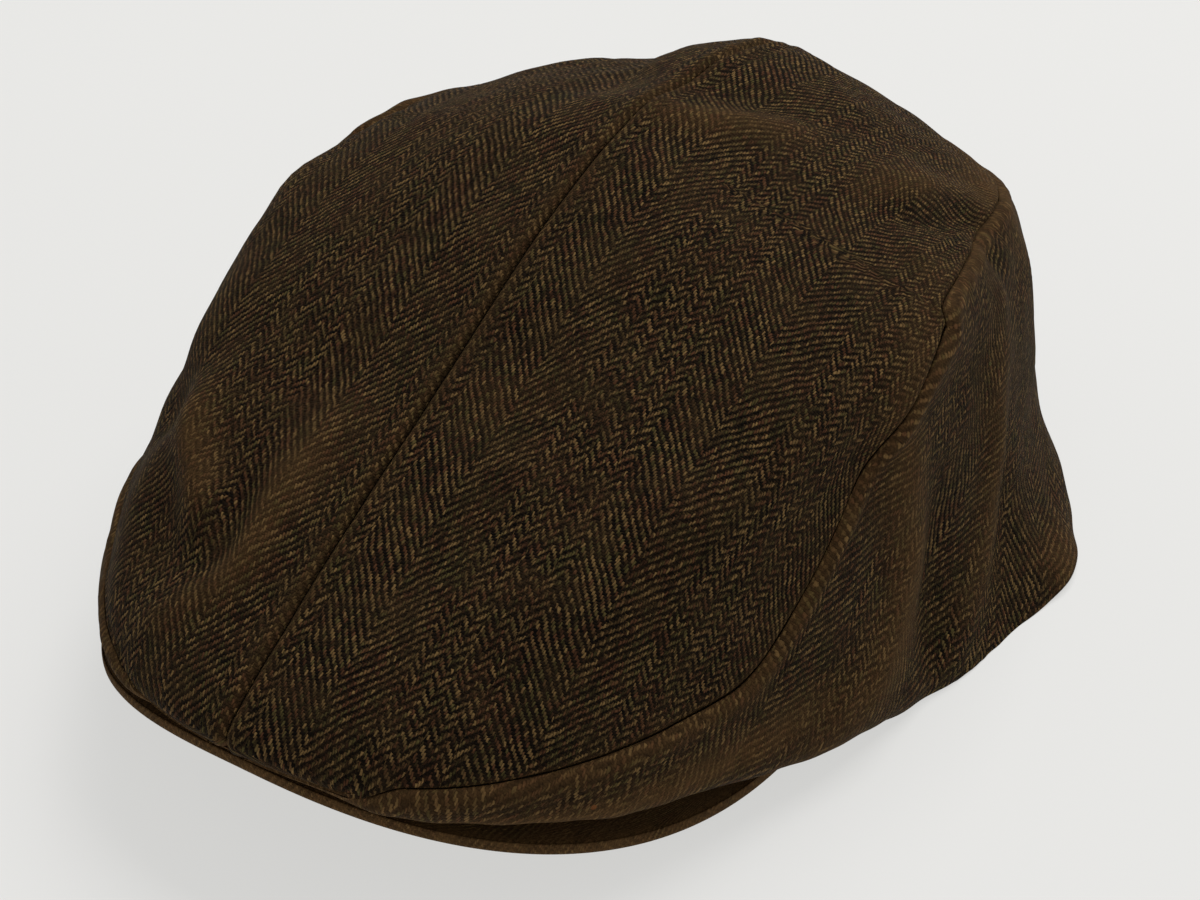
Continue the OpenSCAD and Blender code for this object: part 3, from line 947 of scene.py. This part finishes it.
# ---------------------------------------------------------------- sweatband and tape
def band_pt(a, h, depth):
    """Points of the band's outer face at angle a and height h, moved inwards by depth."""
    a, h, depth = np.broadcast_arrays(a, h, depth)
    zero = 0 * a
    foot = ring_pt(BAND_FOOT, a)
    mid = ring_pt(BAND_MID, a) + np.stack([zero, zero, zero + BAND_H * BAND_BEND], -1)
    top = ring_pt(BAND_TOP, a) + np.stack([zero, zero, zero + BAND_H], -1)
    low = np.minimum(h / (BAND_H * BAND_BEND), 1)[..., None]
    high = (np.maximum(h / BAND_H - BAND_BEND, 0) / (1 - BAND_BEND))[..., None]
    q = spline((2 * foot - mid, foot, mid, top), low)
    r = spline((foot, mid, top, 2 * top - mid), high)
    v = np.where((h < BAND_H * BAND_BEND)[..., None], q, r)
    out = unit(np.stack([foot[..., 0], foot[..., 1] - RIM_Y, zero], -1))
    v = v - depth[..., None] * out
    v[..., 2] += BAND_FOOT_Z
    return v


def hoop(name, section, steps, material):
    """A closed hoop round the rim from a loop of (height, depth) pairs."""
    a = np.linspace(0, 2 * PI, steps, endpoint=False)[:, None]
    h = np.array([q[0] for q in section])[None, :]
    depth = np.array([q[1] for q in section])[None, :]
    ripple = 0.25 * np.sin(9 * a + 1.3) + 0.18 * np.sin(17 * a)
    share = smooth(h / 10.0) * smooth((BAND_H - h) / 4.0)      # none at the hoop's edges
    p = band_pt(a + 0 * h, h + 0 * a, depth + ripple * share)
    n = len(section)
    at = np.arange(steps * n).reshape(steps, n)
    side = np.roll(at, -1, 0)
    quads = np.stack([at, side, np.roll(side, -1, 1), np.roll(at, -1, 1)], -1).reshape(-1, 4)
    run = arc(p, 0)
    grain = np.stack([run, h + 0 * run], -1)
    obj = mesh_object(name, p.reshape(-1, 3), quads.tolist(), material, grain.reshape(-1, 2))
    heights = np.linspace(h.min(), h.max(), 12)[None, :]
    return keep_cut(obj, band_pt(np.vstack([a, a[:1] + 2 * PI]), heights, 0.0))


def band_section():
    """The band's cross-section: a flat strip with a folded, thicker top edge."""
    heights = [0, 0.5, 2, 4, 8, 12, 16, 20, 24, BAND_H - 2.6, BAND_H - 2.0, BAND_H - 0.6]
    swell = [0, 0.1, 0, 0, 0, 0, 0, 0, 0, 0, 0.35, 0.3]
    outer = [(h, 0.0) for h in heights] + [(BAND_H - 0.1, 0.3), (BAND_H, 0.6)]
    inner = [(h, BAND_T + e) for h, e in zip(heights[::-1], swell[::-1])]
    return outer + inner


def strip_section(h0, h1, d0, d1, rows=6):
    """A plain strip's cross-section between two heights and two depths."""
    heights = np.linspace(h0, h1, rows)
    return [(h, d0) for h in heights] + [(h, d1) for h in heights[::-1]]


STITCH_SIDES, STITCH_RINGS = 6, 5
STITCH_R = 0.22
STITCH_SHARE = 0.66       # a stitch's share of the stitches' pitch


def stitches(name, points, out, length, radius):
    """Short rounded stitches laid along a line of points, standing out from the cloth."""
    verts, faces = [], []
    ring, rings = STITCH_SIDES, STITCH_RINGS
    for k in range(len(points) - 1):
        p, q = points[k], points[k + 1]
        ahead = unit(q - p)
        up = out[k]
        across = np.cross(ahead, up)
        start = len(verts)
        for i in range(rings):
            run = i / (rings - 1)
            middle = p + ahead * length * run + up * radius * (1.3 * math.sin(PI * run) - 0.6)
            fat = radius * (0.45 + 0.55 * math.sin(PI * run))
            for j in range(ring):
                turn = 2 * PI * j / ring
                verts.append(middle + fat * (math.cos(turn) * across + math.sin(turn) * up))
        for i in range(rings - 1):
            for j in range(ring):
                a, b = start + i * ring + j, start + i * ring + (j + 1) % ring
                faces.append((a, b, b + ring, a + ring))
        faces.append(tuple(start + j for j in range(ring))[::-1])
        last = start + (rings - 1) * ring
        faces.append(tuple(last + j for j in range(ring)))
    verts = np.array(verts)
    grain = verts[:, :2] + verts[:, 2:]
    return mesh_object(name, verts, faces, THREAD, grain)


def band_stitches(name, height, depth, pitch):
    """A line of stitches round the inside of the band."""
    a = np.linspace(0, 2 * PI, int(BAND_LENGTH / pitch) + 1)
    p = band_pt(a, np.full_like(a, height), np.full_like(a, depth))
    inward = -unit(np.stack([p[:, 0], p[:, 1] - RIM_Y, 0 * a], -1))
    return stitches(name, p, inward, pitch * STITCH_SHARE, STITCH_R)


sweatband = hoop("sweatband_cloth", band_section(), 220, BAND)
tape_section = strip_section(TAPE_FOOT, TAPE_H, -TAPE_OUT - TAPE_T, -TAPE_OUT)
rim_tape = hoop("rim_petersham", tape_section, 200, TAPE)
place_piece(sweatband, "crown", "band_cloth", "sweatband")
place_piece(rim_tape, "crown", "tape_cloth", "rim_tape")
seam_high = band_stitches("band_stitches_top", BAND_H - 3.2, BAND_T + 0.1, 3.0)
seam_low = band_stitches("band_stitches_foot", 1.6, BAND_T + 0.1, 2.6)
place_piece(seam_high, "crown", "band_cloth")
place_piece(seam_low, "crown", "band_cloth")


TAB_TURN = 6              # half the tab's length, in degrees round the rim
TAB_MID, TAB_HALF = 15, 6     # its middle height on the band, and half its width
TAB_ROWS, TAB_COLS = 26, 22


def make_tab():
    """A blank folded tab on the inside of the band at the back."""
    a = np.radians(np.linspace(180 - TAB_TURN, 180 + TAB_TURN, TAB_ROWS))[:, None]
    h = np.linspace(TAB_MID - TAB_HALF, TAB_MID + TAB_HALF, TAB_COLS)[None, :]
    edge = np.minimum(1 - np.abs(np.degrees(a) - 180) / TAB_TURN,
                      1 - np.abs(h - TAB_MID) / TAB_HALF)
    puff = 0.35 * smooth(edge / 0.25) + 0.1 * np.sin(h * 1.1 + a * 30)
    zero = 0 * a + 0 * h
    low = band_pt(a + zero, h + zero, zero + BAND_T + 0.05)
    high = band_pt(a + zero, h + zero, BAND_T + 0.3 + puff)
    grain = np.stack([a * 118 + zero, h + zero], -1)
    points, quads = slab(high, low)
    obj = keep_cut(mesh_object("size_tab_cloth", points, quads, TAB, twice(grain)), low)
    return place_piece(obj, "crown", "tab_cloth", "size_tab")


size_tab = make_tab()

for node in ("snap_cap", "snap_socket", "snap_stud", "snap_post"):
    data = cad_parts[node].data
    data.materials.clear()
    data.materials.append(METAL)


# ---------------------------------------------------------------- peak
PEAK_REACH = 85
PEAK_ROWS = 160
PEAK_COLS = 40
ROOT_DROP = LAYER_GAP + COVER_T + BOARD_HALF
PEAK_FACE = BOARD_HALF + COVER_T
LINER_GAP = 0.05          # between the board and its covers
CORNER = ring_pt(RIM, np.array(math.radians(PEAK_ANGLE)))


def peak_pt(f, v):
    """Mid points of the peak: f round its edge from -90 to 90 degrees, v from root to edge."""
    q = 2 / PEAK_SQUARE
    x = CORNER[0] * spow(np.sin(f), q)
    y = along(CORNER[1], PEAK_TIP_Y, np.abs(np.cos(f)) ** q)
    z = along(PEAK_TIP_Z, CORNER[2] - ROOT_DROP, (x / CORNER[0]) ** 2)
    edge = np.stack([x, y, z], -1)
    root = ring_pt(RIM, f * PEAK_ANGLE / 90)
    root[..., 2] -= ROOT_DROP
    return along(root, edge, v[..., None])


# The turns round the peak's edge, as pairs: how far out, and the height over the mid surface.
EDGE_IN = 0.9
TOP_RIM = [(0.3, 1.5), (0.6, 1.42), (0.75, 1.2), (0.8, 0.95)]
TOP_LINER = [(0.2, 0.75), (0.35, 0.75), (0.5, 0.75), (0.6, 0.8)]
WRAP = [(0.4, -1.45), (0.9, -1.15), (1.15, -0.6), (1.22, 0), (1.22, 0.6), (1.2, 1.1),
        (1.15, 1.5), (1.0, 1.75), (0.85, 1.7)]
WRAP_LINER = [(0.1, -0.75), (0.4, -0.7), (0.75, -0.4), (0.88, 0), (0.9, 0.4), (0.9, 0.8),
              (0.9, 1.2), (0.88, 1.45), (0.82, 1.55)]


def peak_skin(v, height, turn):
    """A skin of the peak at a height over its mid surface, then a turn round its edge."""
    f = np.radians(np.linspace(-PEAK_REACH, PEAK_REACH, PEAK_ROWS + 1))[:, None]
    root, edge = peak_pt(f, 0 * f), peak_pt(f, 1 + 0 * f)
    ahead = unit(edge - root)
    edge = edge - EDGE_IN * ahead
    flat = along(root, edge, v[None, :, None])
    flat[..., 2] += height + 0.09 * waves(flat, 24.0, 31) * smooth((1 - v) * 12)
    round_it = [edge + ahead * out + np.array([0, 0, up]) for out, up in turn]
    return np.concatenate([flat] + round_it, 1)


def peak_cover(name, height, liner, turn, turn_liner, material):
    """A closed sheet of the peak: its face and its inner side, each with its turn."""
    steps = np.linspace(0, 1, PEAK_COLS)
    v = along(0.03, 1, steps ** 0.8) if turn else along(0.05, 0.97, steps)
    face_skin = peak_skin(v, height, turn)
    liner_skin = peak_skin(v, liner, turn_liner)
    run = arc(face_skin, 1)
    grain = np.stack([arc(face_skin, 0), run], -1)
    points, quads = slab(face_skin, liner_skin, flip=height < liner)
    edge_run = np.maximum(run[:, PEAK_COLS - 1:PEAK_COLS] - run, 0)
    rub_and_highlight = 0.72 + 0.28 * bell(edge_run, 1.5)
    obj = mesh_object(name, points, quads, material, twice(grain), [("rub_and_highlight", twice(rub_and_highlight))])
    return keep_cut(obj, face_skin)


peak_top = peak_cover(
    "peak_wool_top", PEAK_FACE, BOARD_HALF + LINER_GAP, TOP_RIM, TOP_LINER, WOOL)
peak_under = peak_cover(
    "peak_wool_under", -PEAK_FACE, -BOARD_HALF - LINER_GAP, WRAP, WRAP_LINER, WOOL)
peak_board = peak_cover("peak_pulp_board", BOARD_HALF, -BOARD_HALF, [], [], BOARD)
for obj, node, slot_name in ((peak_top, "peak_top_cover", "wool_tweed"),
                             (peak_under, "peak_under_cover", "wool_tweed"),
                             (peak_board, "peak_board", "peak_board")):
    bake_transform(obj)
    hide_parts(node)


# ---------------------------------------------------------------- camera, floor and light
CAMERA_AZIMUTH, CAMERA_ELEVATION = 33.08, 35.9
CAMERA_DISTANCE = 0.5997
CAMERA_LENS = 76.6
CAMERA_AIM = (0, 0.0197, 0.0485)
CAMERA_SHIFT = (-0.00698, -0.02594)     # from the aim, to the right and up


def make_camera():
    """A camera that looks down on the front from the wearer's left."""
    azimuth, elevation = math.radians(CAMERA_AZIMUTH), math.radians(CAMERA_ELEVATION)
    right = np.array([math.cos(azimuth), math.sin(azimuth), 0])
    back = np.array([math.sin(azimuth) * math.cos(elevation),
                     -math.cos(azimuth) * math.cos(elevation), math.sin(elevation)])
    up = np.cross(back, right)
    aim = np.array(CAMERA_AIM) + CAMERA_SHIFT[0] * right + CAMERA_SHIFT[1] * up
    data = bpy.data.cameras.new("camera")
    data.lens = CAMERA_LENS
    data.sensor_width = 36
    data.clip_end = 50
    cam = bpy.data.objects.new("camera", data)
    m = Matrix.Identity(4)
    for i in range(3):
        m[i][0], m[i][1], m[i][2] = right[i], up[i], back[i]
        m[i][3] = (aim + CAMERA_DISTANCE * back)[i]
    cam.matrix_world = m
    bpy.context.scene.collection.objects.link(cam)
    bpy.context.scene.camera = cam


def floor_material():
    """Pale paper with a little light of its own, so that shadows stay soft on it."""
    n = Nodes("floor_paper")
    place = n.place()
    tone = n.noise(3.0, 2.0, place)
    return n.principled({
        "Base Color": n.mix(tone, rgb(122, 122, 122), rgb(127, 127, 127)),
        "Roughness": 0.7,
        "Specular IOR Level": 0.3,
        "Emission Color": rgb(232, 232, 230),
        "Emission Strength": 0.745,
        "Normal": n.bump(n.noise(1500.0, 3.0, place), 0.00005, 0.2),
    })


FLOOR_HALF = 6.0


def make_stage():
    """The floor under the cap."""
    me = bpy.data.meshes.new("floor")
    corners = [(x * FLOOR_HALF, y * FLOOR_HALF, 0) for x, y in ((-1, -1), (1, -1), (1, 1), (-1, 1))]
    me.from_pydata(corners, [], [(0, 1, 2, 3)])
    me.materials.append(floor_material())
    floor = bpy.data.objects.new("floor", me)
    bpy.context.scene.collection.objects.link(floor)


LIGHT_AIM = (0, 0, 0.05)


def make_light(name, place, size, power, colour):
    """A soft rectangular light that faces the cap."""
    data = bpy.data.lights.new(name, "AREA")
    data.shape = "RECTANGLE"
    data.size, data.size_y = size
    data.energy = power
    data.color = colour
    obj = bpy.data.objects.new(name, data)
    obj.location = place
    aim = Vector(LIGHT_AIM) - Vector(place)
    obj.rotation_euler = aim.to_track_quat("-Z", "Y").to_euler()
    bpy.context.scene.collection.objects.link(obj)


def make_world():
    """Even, slightly warm light from all round."""
    world = bpy.data.worlds.new("studio")
    world.use_nodes = True
    bpy.context.scene.world = world
    back = world.node_tree.nodes["Background"]
    back.inputs[0].default_value = (1.0, 0.985, 0.96, 1)
    back.inputs[1].default_value = 0.3


make_camera()
make_stage()
make_world()
make_light("overhead", (0.05, 0.85, 1.6), (1.4, 1.1), 26, (1.0, 0.98, 0.95))
make_light("front", (0.5, -1.7, 0.8), (2.0, 1.2), 3.0, (1.0, 0.99, 0.97))
bpy.context.scene.view_settings.view_transform = "Standard"
